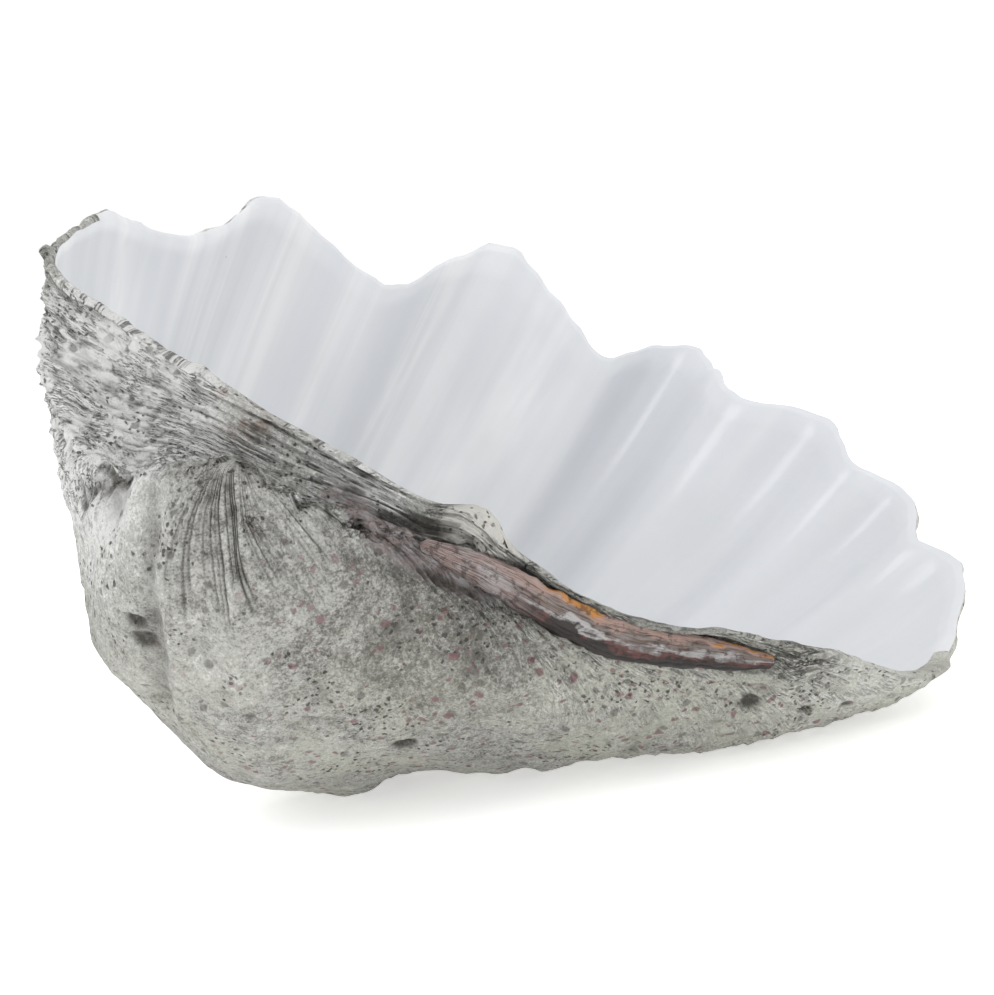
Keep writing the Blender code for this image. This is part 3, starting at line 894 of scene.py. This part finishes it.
def crust_material(colours):
    """Chalky grey crust with painted shade in its grooves and holes and beside the ligament, painted light
    on the front wall, bored specks, red crusts and a green tinge low down.
    """
    m = Nodes("weathered_crust", 0.88)
    here = m.here()
    groove = m.field("groove")
    shaken = m.shaken(here, 120.0, 0.006)
    grit, broad, middle, fine = (m.noise(here, *pattern) for pattern in (GRIT, BROAD, MIDDLE, FINE))
    tone = m.field("tone")
    for pattern, share in zip((broad, middle, fine, grit), TONE_SHARES):
        tone = m.maths("MULTIPLY_ADD", m.maths("SUBTRACT", pattern, 0.5), share, tone)
    paler = (
        (-0.30, -0.10, colours.crust_grey),
        (-0.14, 0.04, colours.crust_light),
        (0.06, 0.26, colours.crust_chalk),
    )
    colour = m.layers(tone, colours.crust_dark, paler)
    low = m.times(m.field("low"), m.spread(broad, 0.35, 0.6))
    colour = m.blend(m.times(low, 0.40), colour, colours.crust_green)
    flakes = m.noise(m.along_growth(64.0, 150.0), 1.0, 4.0, 0.65)
    crack = m.spread(m.maths("ABSOLUTE", m.maths("SUBTRACT", flakes, 0.5)), 0.0, 0.035, 1.0, 0.0)
    crack = m.times(crack, m.times(m.field("front"), m.spread(middle, 0.44, 0.56)))
    colour = m.blend(m.times(crack, 0.85), colour, colours.groove_shade_and_dark_marks)
    streaks = m.noise(m.stretched(here, (25.0, 300.0, 300.0)), 1.0, 4.0, 0.6)
    streaks = m.times(m.spread(streaks, 0.44, 0.56), m.field("streaked"))
    colour = m.blend(m.times(streaks, 0.95), colour, colours.crevice_shade_and_dirt)
    rust = m.times(m.field("rust"), m.spread(middle, 0.42, 0.60))
    colour = m.blend(rust, colour, colours.rust)
    threads = m.noise(m.stretched(here, (30.0, 260.0, 260.0)), 1.0, 4.0, 0.6)
    stain = m.blend(m.spread(threads, 0.42, 0.58), colours.stained, colours.horn_pale)
    stain = m.blend(m.spread(fine, 0.56, 0.66), stain, colours.horn_red)
    colour = m.blend(m.spread(m.field("stained"), 0.0, 0.5, 0.0, 0.85), colour, stain)
    tooth = m.spread(m.maths("ADD", m.field("tooth"), m.times(middle, 0.5)), 0.42, 0.62)
    colour = m.blend(m.times(tooth, 0.85), colour, colours.pearl_cream)
    # Painted shade in the grooves, pits, holes and creases.
    dark = m.times(m.spread(groove, 0.04, 0.70), m.spread(fine, 0.25, 0.55, 0.45, 0.95))
    colour = m.blend(dark, colour, colours.groove_shade_and_dark_marks)
    specks = m.dots(shaken, SPECKS_PER_METRE, SPECK_EDGE)
    specks = m.times(specks, m.spread(m.noise(here, 26.0, 4.0), 0.46, 0.58))
    colour = m.blend(m.times(specks, 0.85), colour, colours.groove_shade_and_dark_marks)
    stains = m.dots(shaken, *DARK_STAINS)
    colour = m.blend(m.times(stains, 0.60), colour, colours.crust_dark)
    spots = m.maths("MAXIMUM", *(m.dots(shaken, *kind) for kind in RED_SPOTS))
    spots = m.times(spots, m.field("spots"))
    colour = m.blend(m.times(spots, 0.75), colour, colours.red_crust)
    # Painted shade in the crevice beside the ligament.
    colour = m.blend(m.field("crevice_shade_and_dirt"), colour, colours.crevice_shade_and_dirt)
    m.put(m.shader.inputs["Base Color"], colour)
    height = m.maths("ADD", m.times(middle, 1.4), m.times(fine, 0.7))
    height = m.maths("SUBTRACT", height, m.times(specks, 1.2))
    height = m.maths("SUBTRACT", height, m.times(crack, 0.9))
    height = m.maths("ADD", height, m.times(grit, 0.45))
    m.bump(height, 0.0038, 1.0)
    return m.material


def pearl_material(colours):
    """Smooth white inside with faint cool streaks along the rib lines, streaks of painted sheen, painted
    shade towards the back and a cream tinge by the hinge.
    """
    m = Nodes("pearly_inside", 0.32)
    streak = m.noise(m.along_growth(120.0, 1.6), 1.0, 3.0, 0.6)
    band = m.noise(m.along_growth(38.0, 0.9), 1.0, 2.0, 0.5)
    cloud = m.noise(m.here(), 7.0, 3.0, 0.5)
    colour = m.blend(m.spread(band, 0.36, 0.60), colours.pearl_white, colours.pearl_cool)
    colour = m.blend(m.spread(streak, 0.42, 0.68, 0.0, 0.6), colour, colours.pearl_shade)
    # Streaks of painted sheen.
    painted_sheen = m.spread(m.noise(m.along_growth(34.0, 3.2), 1.0, 4.0), 0.54, 0.72, 0.0, 0.9)
    painted_sheen = m.times(painted_sheen, m.spread(band, 0.62, 0.46))
    colour = m.blend(painted_sheen, colour, colours.pearl_painted_sheen)
    # Cooler tint and painted shade towards the back of the bowl.
    colour = m.blend(m.times(m.field("back"), 0.75), colour, colours.pearl_cool)
    colour = m.blend(m.spread(cloud, 0.42, 0.66, 0.0, 0.5), colour, colours.pearl_shade)
    colour = m.blend(m.times(m.field("hinge"), 0.6), colour, colours.pearl_cream)
    colour = m.blend(m.times(m.dots(m.here(), *PEARL_DOTS), 0.6), colour, colours.crust_dark)
    m.put(m.shader.inputs["Base Color"], colour)
    m.shader.inputs["Coat Weight"].default_value = 0.35
    m.shader.inputs["Coat Roughness"].default_value = 0.16
    m.bump(streak, 0.0008, 0.5)
    return m.material


def ligament_material(colours):
    """Dry horn in layers across the strip, from nearly black over red, grey and pink to the orange edge."""
    m = Nodes("dry_ligament", 0.42)
    ragged = m.noise(m.here(), 150.0, 5.0, 0.7)
    layer = m.maths("ADD", m.field("layer"), m.times(m.field("waver"), 0.12))
    layer = m.maths("ADD", layer, m.times(m.maths("SUBTRACT", ragged, 0.5), 0.35))
    fibre = m.noise(m.along_growth(22.0, 3.0), 3.0, 6.0, 0.7)
    patch = m.noise(m.along_growth(3.0, 9.0), 1.0, 3.0, 0.6)
    red = m.blend(m.spread(patch, 0.44, 0.54), colours.horn_black, colours.horn_red)
    pale = m.blend(m.spread(patch, 0.50, 0.60), colours.horn_pale, colours.horn_grey)
    brown = m.blend(m.spread(fibre, 0.42, 0.58), colours.horn_grey, colours.horn_brown)
    upwards = (
        (0.26, 0.33, red),
        (0.42, 0.50, pale),
        (0.58, 0.64, brown),
        (0.76, 0.86, colours.horn_pink),
    )
    colour = m.layers(layer, colours.horn_black, upwards)
    aged = m.blend(m.spread(fibre, 0.40, 0.60), colours.stained, colours.horn_brown)
    aged = m.blend(m.spread(patch, 0.46, 0.58, 0.0, 0.6), aged, colours.horn_pale)
    colour = m.blend(m.field("young"), colour, aged)
    orange = m.times(m.spread(layer, 0.86, 0.94), m.field("orange"))
    colour = m.blend(orange, colour, colours.horn_orange)
    colour = m.blend(m.spread(ragged, 0.52, 0.62, 0.0, 0.65), colour, colours.horn_black)
    colour = m.blend(m.spread(fibre, 0.50, 0.64, 0.0, 0.75), colour, colours.horn_black)
    m.put(m.shader.inputs["Base Color"], colour)
    m.bump(fibre, 0.0018, 0.8)
    return m.material


def build_valve(look, colours):
    """The plain grid moved square to itself by the weathering, laid to rest and worn level underneath."""
    plain, place, turn, outside = plain_valve()
    height, groove = weather(plain, place, turn, outside, look)
    grid = dip_hinge(plain + facing(plain) * height[..., None])
    far, _, full = trough_reach(plain)
    # Painted shade beside the ligament, strongest next to the trough line, from behind the tooth.
    crevice_shade_and_dirt = full * outside * np.clip(CREVICE_FILL - far / (CREVICE_WIDTH * TROUGH_HALF_WIDTH), 0, 1)
    crevice_shade_and_dirt = crevice_shade_and_dirt * smooth_step(plain[..., 0], CREVICE_START)
    floor = bowl_face(np.zeros(1), np.full(1, BOWL_TURN))[0]
    laid, ends = lay_to_rest(grid), lay_to_rest((floor, BEAK))
    laid[..., 2] = np.maximum(laid[..., 2], 0.0)
    low = 1 - smooth_step(laid[..., 2], GREEN_HEIGHTS)
    spots = smooth_step(plain[..., 0], RED_ALONG) * smooth_step(-plain[..., 2], RED_BELOW)
    hinge = 1 - smooth_step(plain[..., 1], CREAM_DEPTHS)
    fields = {"groove": groove, "crevice_shade_and_dirt": crevice_shade_and_dirt, "low": low, "spots": spots, "hinge": hinge}
    for title, (middle, reach) in (("tooth", TOOTH_LUMP), ("streaked", STREAKED), ("rust", RUSTY)):
        fields[title] = nearness(plain, middle, reach)
    fields["stained"] = nearness_to_line(plain, STAINED_LINE, STAINED_REACH)
    fields["back"] = smooth_step(plain[..., 0], COOL_SHADED_BACK)
    # The tone holds painted light on the front wall.
    tone = sum(change * nearness(plain, middle, reach) for middle, reach, change in TONES_WITH_PAINTED_LIGHT)
    at_rim = ease(place, *CAP_PLACES) * (1 - smooth_step(turn - turn[BOWL_ROWS], RIM_BAND))
    fields["tone"] = tone + RIM_TONE * at_rim
    fields["front"] = ease(place, *FRONT_WALL) * (1 - smooth_step(turn, CRACK_TURNS))
    mesh = closed_surface("valve_shell", laid, ends, place[0] / PLACES, turn / BEAK_TURN, fields)
    first_row = BOWL_ROWS - inside(place[0], CRUST_OVER_PLACES)
    first_row = first_row + EDGE_ROWS // 2 * inside(place[0], PALE_EDGE_PLACES)
    crust = np.arange(len(laid) - 1)[:, None] >= first_row
    crust = np.concatenate((crust.ravel(), np.zeros(laid.shape[1]), np.ones(laid.shape[1])))
    add_piece("valve_shell", mesh, (pearl_material(colours), crust_material(colours)), "valve")
    mesh.polygons.foreach_set("material_index", crust.astype(np.int32))


def build_ligament(look, colours):
    """An oval carried along the trough, thin at both ends, with ridges where its layers end."""
    line = trough_line(*LIGAMENT_STRETCH, LIGAMENT_ROWS)
    run = unit(np.gradient(line, axis=0))
    inwards = np.array((0.0, 1.0, 0.0))
    upwards = unit(np.cross(inwards, run))
    upwards = upwards * np.sign(upwards[:, 2:3])
    way = np.linspace(0, 1, LIGAMENT_ROWS)
    share = np.sin(pi * np.linspace(*LIGAMENT_ENDS, LIGAMENT_ROWS)) ** LIGAMENT_BLUNTNESS
    angle = np.linspace(0, 2 * pi, LIGAMENT_SIDES, endpoint=False)
    layer = np.broadcast_to((np.cos(angle) + 1) / 2, (LIGAMENT_ROWS, LIGAMENT_SIDES))
    along, around = WAVER_COUNTS
    where = np.stack(np.broadcast_arrays(way[:, None] * along, layer * around, 0.0), axis=-1)
    waver = lattice_noise(where, NOISE_CELLS, WAVER_SEEDS[0])
    waver = waver + 0.5 * lattice_noise(where * WAVER_FINER, NOISE_CELLS, WAVER_SEEDS[1])
    ridge = np.abs(np.sin(pi * (layer * LAYER_RIDGES + LAYER_WAVER * waver)))
    thick = LIGAMENT_HALF_THICKNESS * share[:, None] - look.layer_height * share[:, None] * (1 - ridge)
    deep = np.interp(way, LIGAMENT_SHARES, LIGAMENT_SET_BACKS)
    middle = line + inwards * deep[:, None] + upwards * LAYERS_SHIFT
    wide = (LIGAMENT_HALF_WIDTH * share)[:, None] * np.cos(angle) * LAYERS_WIDER
    grid = middle[:, None] + upwards[:, None] * wide[..., None]
    grid = grid + inwards * (thick * np.sin(angle))[..., None]
    out = unit(grid - middle[:, None])
    rough = look.layer_height * share[:, None] * LIGAMENT_ROUGHNESS * fractal(grid, *LIGAMENT_NOISE)
    grid = grid + out * rough[..., None]
    orange = np.max([nearness(way[:, None], at, reach) for at, reach in ORANGE_STRETCHES], axis=0)
    ends = lay_to_rest((middle[0] - run[0] * LIGAMENT_TIP, middle[-1] + run[-1] * LIGAMENT_TIP))
    down = np.broadcast_to(way[:, None], layer.shape)
    orange = np.broadcast_to(smooth_step(orange, ORANGE_EDGE)[:, None], layer.shape)
    young = np.broadcast_to(1 - smooth_step(way, YOUNG_STRETCH)[:, None], layer.shape)
    fields = {"layer": layer, "waver": waver, "orange": orange, "young": young}
    across = angle / (2 * pi)
    mesh = closed_surface("ligament_strip", lay_to_rest(dip_hinge(grid)), ends, across, down, fields)
    add_piece("ligament_strip", mesh, (ligament_material(colours),), "ligament")


def build_stage(stage):
    """A wide pale floor, an even white surround, large soft lights from both sides, and the camera."""
    bpy.ops.mesh.primitive_circle_add(vertices=96, radius=stage.floor_radius, fill_type="NGON")
    floor = bpy.context.active_object
    floor.name = "floor"
    paint = Nodes("pale_floor", 0.9)
    paint.shader.inputs["Base Color"].default_value = (*stage.floor_colour, 1.0)
    paint.shader.inputs["Specular IOR Level"].default_value = 0.0
    paint.shader.inputs["Emission Color"].default_value = (1.0, 1.0, 1.0, 1.0)
    paint.shader.inputs["Emission Strength"].default_value = stage.floor_glow
    floor.data.materials.append(paint.material)
    scene = bpy.context.scene
    scene.world = scene.world or bpy.data.worlds.new("white_surround")
    scene.world.use_nodes = True
    surround = scene.world.node_tree.nodes["Background"]
    surround.inputs["Color"].default_value = (1.0, 1.0, 1.0, 1.0)
    surround.inputs["Strength"].default_value = stage.surround_strength
    scene.view_settings.view_transform = "Standard"
    for name, place, size, power in (
        ("key_light", (-1.5, -1.3, 1.9), 1.3, stage.key_power),
        ("fill_light", (1.6, -1.0, 2.0), 1.6, stage.fill_power),
    ):
        lamp = bpy.data.lights.new(name, "AREA")
        lamp.size = size
        lamp.energy = power
        holder = bpy.data.objects.new(name, lamp)
        holder.location = place
        towards = Vector(place) - Vector(LIGHTS_AIM)
        holder.rotation_euler = towards.to_track_quat("Z", "Y").to_euler()
        scene.collection.objects.link(holder)
    lens = bpy.data.cameras.new("photo_camera")
    lens.sensor_fit = "HORIZONTAL"
    lens.angle = stage.camera_angle
    camera = bpy.data.objects.new("photo_camera", lens)
    camera.location = stage.camera_place
    camera.rotation_euler = stage.camera_turn
    scene.collection.objects.link(camera)
    scene.camera = camera


def colour_value(name, description, default):
    return FloatVectorProperty(
        name=name, description=description, default=default, subtype="COLOR", min=0, max=1
    )


def length_value(name, description, default):
    return FloatProperty(name=name, description=description, default=default, unit="LENGTH", precision=4)


def strength_value(name, description, default, unit="NONE"):
    return FloatProperty(name=name, description=description, default=default, unit=unit)


class ClamLook(bpy.types.PropertyGroup):
    ledge_height: length_value("Ledge height", "How far a growth ledge stands out", 0.0035)
    wrinkle_height: length_value("Wrinkle height", "How far the wavy growth lines stand out", 0.0032)
    riblet_height: length_value("Riblet height", "How deep the fine lines on the cap are", 0.0022)
    lump_height: length_value("Lump height", "How uneven the crust is over a hand's width", 0.0030)
    rough_height: length_value("Roughness height", "How uneven the crust is over a fingertip", 0.0014)
    layer_height: length_value("Layer height", "How deep the ligament's layers are parted", 0.0022)


class ClamColours(bpy.types.PropertyGroup):
    crust_light: colour_value("Crust light", "Most of the outside", (0.52, 0.52, 0.49))
    crust_grey: colour_value("Crust grey", "Greyer grains", (0.30, 0.295, 0.275))
    crust_chalk: colour_value("Crust chalk", "Chalky white patches", (0.80, 0.80, 0.785))
    crust_green: colour_value("Crust green", "Tinge low down", (0.50, 0.51, 0.39))
    crust_dark: colour_value("Crust dark", "Stains and fine specks", (0.12, 0.115, 0.10))
    # Painted shade in grooves, pits, holes and creases, and the dark flake cracks and specks.
    groove_shade_and_dark_marks: colour_value("Groove", "Dirt in grooves and holes", (0.065, 0.060, 0.050))
    red_crust: colour_value("Red crust", "Small round crusts", (0.22, 0.105, 0.115))
    rust: colour_value("Rust", "Patch beside the beak", (0.33, 0.20, 0.13))
    stained: colour_value("Stained", "Stretch in front of the ligament", (0.35, 0.275, 0.265))
    # Painted shade beside the ligament, and the dirt of the streaks where it ends.
    crevice_shade_and_dirt: colour_value("Crevice", "Shaded dirt beside the ligament", (0.030, 0.024, 0.020))
    pearl_white: colour_value("Pearl white", "Most of the inside", (0.77, 0.78, 0.79))
    pearl_cool: colour_value("Pearl cool", "Cool streaks of the inside", (0.655, 0.67, 0.705))
    pearl_shade: colour_value("Pearl shade", "Cloudy areas of the inside", (0.635, 0.65, 0.67))
    # Painted sheen in streaks over the inside.
    pearl_painted_sheen: colour_value("Pearl bright", "Shining streaks of the inside", (0.90, 0.91, 0.90))
    pearl_cream: colour_value("Pearl cream", "Tinge near the hinge", (0.78, 0.765, 0.71))
    horn_black: colour_value("Horn black", "Lowest layer and cracks", (0.020, 0.015, 0.013))
    horn_red: colour_value("Horn red", "Dark red layer", (0.125, 0.045, 0.038))
    horn_pale: colour_value("Horn pale", "Pale grey layer", (0.40, 0.385, 0.385))
    horn_grey: colour_value("Horn grey", "Grey threads", (0.20, 0.18, 0.17))
    horn_brown: colour_value("Horn brown", "Brown threads", (0.16, 0.10, 0.075))
    horn_pink: colour_value("Horn pink", "Pinkish brown layer", (0.38, 0.26, 0.22))
    horn_orange: colour_value("Horn orange", "Translucent upper edge", (0.50, 0.22, 0.055))


class ClamStage(bpy.types.PropertyGroup):
    floor_radius: length_value("Floor radius", "Radius of the round floor", 30.0)
    floor_colour: colour_value("Floor colour", "Colour of the floor", (0.93, 0.93, 0.93))
    floor_glow: strength_value("Floor glow", "Light the floor adds of its own", 0.45)
    surround_strength: strength_value("Surround", "Strength of the even light", 1.01)
    key_power: strength_value("Key power", "Light from the upper left", 13.0, "POWER")
    fill_power: strength_value("Fill power", "Light from the right", 3.0, "POWER")
    camera_angle: FloatProperty(
        name="Camera angle", description="Width of the view", default=radians(26), subtype="ANGLE"
    )
    camera_place: FloatVectorProperty(
        name="Camera place",
        description="Where the camera stands",
        default=(0.0346, -1.6251, 0.3606),
        subtype="TRANSLATION",
    )
    camera_turn: FloatVectorProperty(
        name="Camera turn",
        description="How the camera is turned",
        default=(radians(84.081), radians(8.879), radians(1.099)),
        subtype="EULER",
    )


class CLAM_OT_valve(bpy.types.Operator):
    """Builds the weathered valve with its pearly bowl"""

    bl_idname = "clam.valve"
    bl_label = "Build valve"

    def execute(self, context):
        build_valve(context.scene.clam_look, context.scene.clam_colours)
        return {"FINISHED"}


class CLAM_OT_ligament(bpy.types.Operator):
    """Builds the dry ligament in its trough"""

    bl_idname = "clam.ligament"
    bl_label = "Build ligament"

    def execute(self, context):
        build_ligament(context.scene.clam_look, context.scene.clam_colours)
        return {"FINISHED"}


class CLAM_OT_stage(bpy.types.Operator):
    """Builds the floor, the lights and the camera"""

    bl_idname = "clam.stage"
    bl_label = "Build stage"

    def execute(self, context):
        build_stage(context.scene.clam_stage)
        return {"FINISHED"}


class CLAM_PT_panel(bpy.types.Panel):
    """Lists the shell's builders and its sizes and colours"""

    bl_label = "Giant clam valve"
    bl_idname = "CLAM_PT_panel"
    bl_space_type = "VIEW_3D"
    bl_region_type = "UI"
    bl_category = "Clam"

    def draw(self, context):
        for operator in (CLAM_OT_valve, CLAM_OT_ligament, CLAM_OT_stage):
            self.layout.operator(operator.bl_idname)
        for group in (context.scene.clam_look, context.scene.clam_colours, context.scene.clam_stage):
            for name in group.__annotations__:
                self.layout.prop(group, name)


CLASSES = (ClamLook, ClamColours, ClamStage, CLAM_OT_valve, CLAM_OT_ligament, CLAM_OT_stage, CLAM_PT_panel)


def register():
    for item in CLASSES:
        bpy.utils.register_class(item)
    bpy.types.Scene.clam_look = PointerProperty(type=ClamLook)
    bpy.types.Scene.clam_colours = PointerProperty(type=ClamColours)
    bpy.types.Scene.clam_stage = PointerProperty(type=ClamStage)


def unregister():
    del bpy.types.Scene.clam_stage
    del bpy.types.Scene.clam_colours
    del bpy.types.Scene.clam_look
    for item in reversed(CLASSES):
        bpy.utils.unregister_class(item)


def main():
    register()
    bpy.ops.clam.valve()
    bpy.ops.clam.ligament()
    bpy.ops.clam.stage()


if __name__ == "__main__":
    main()
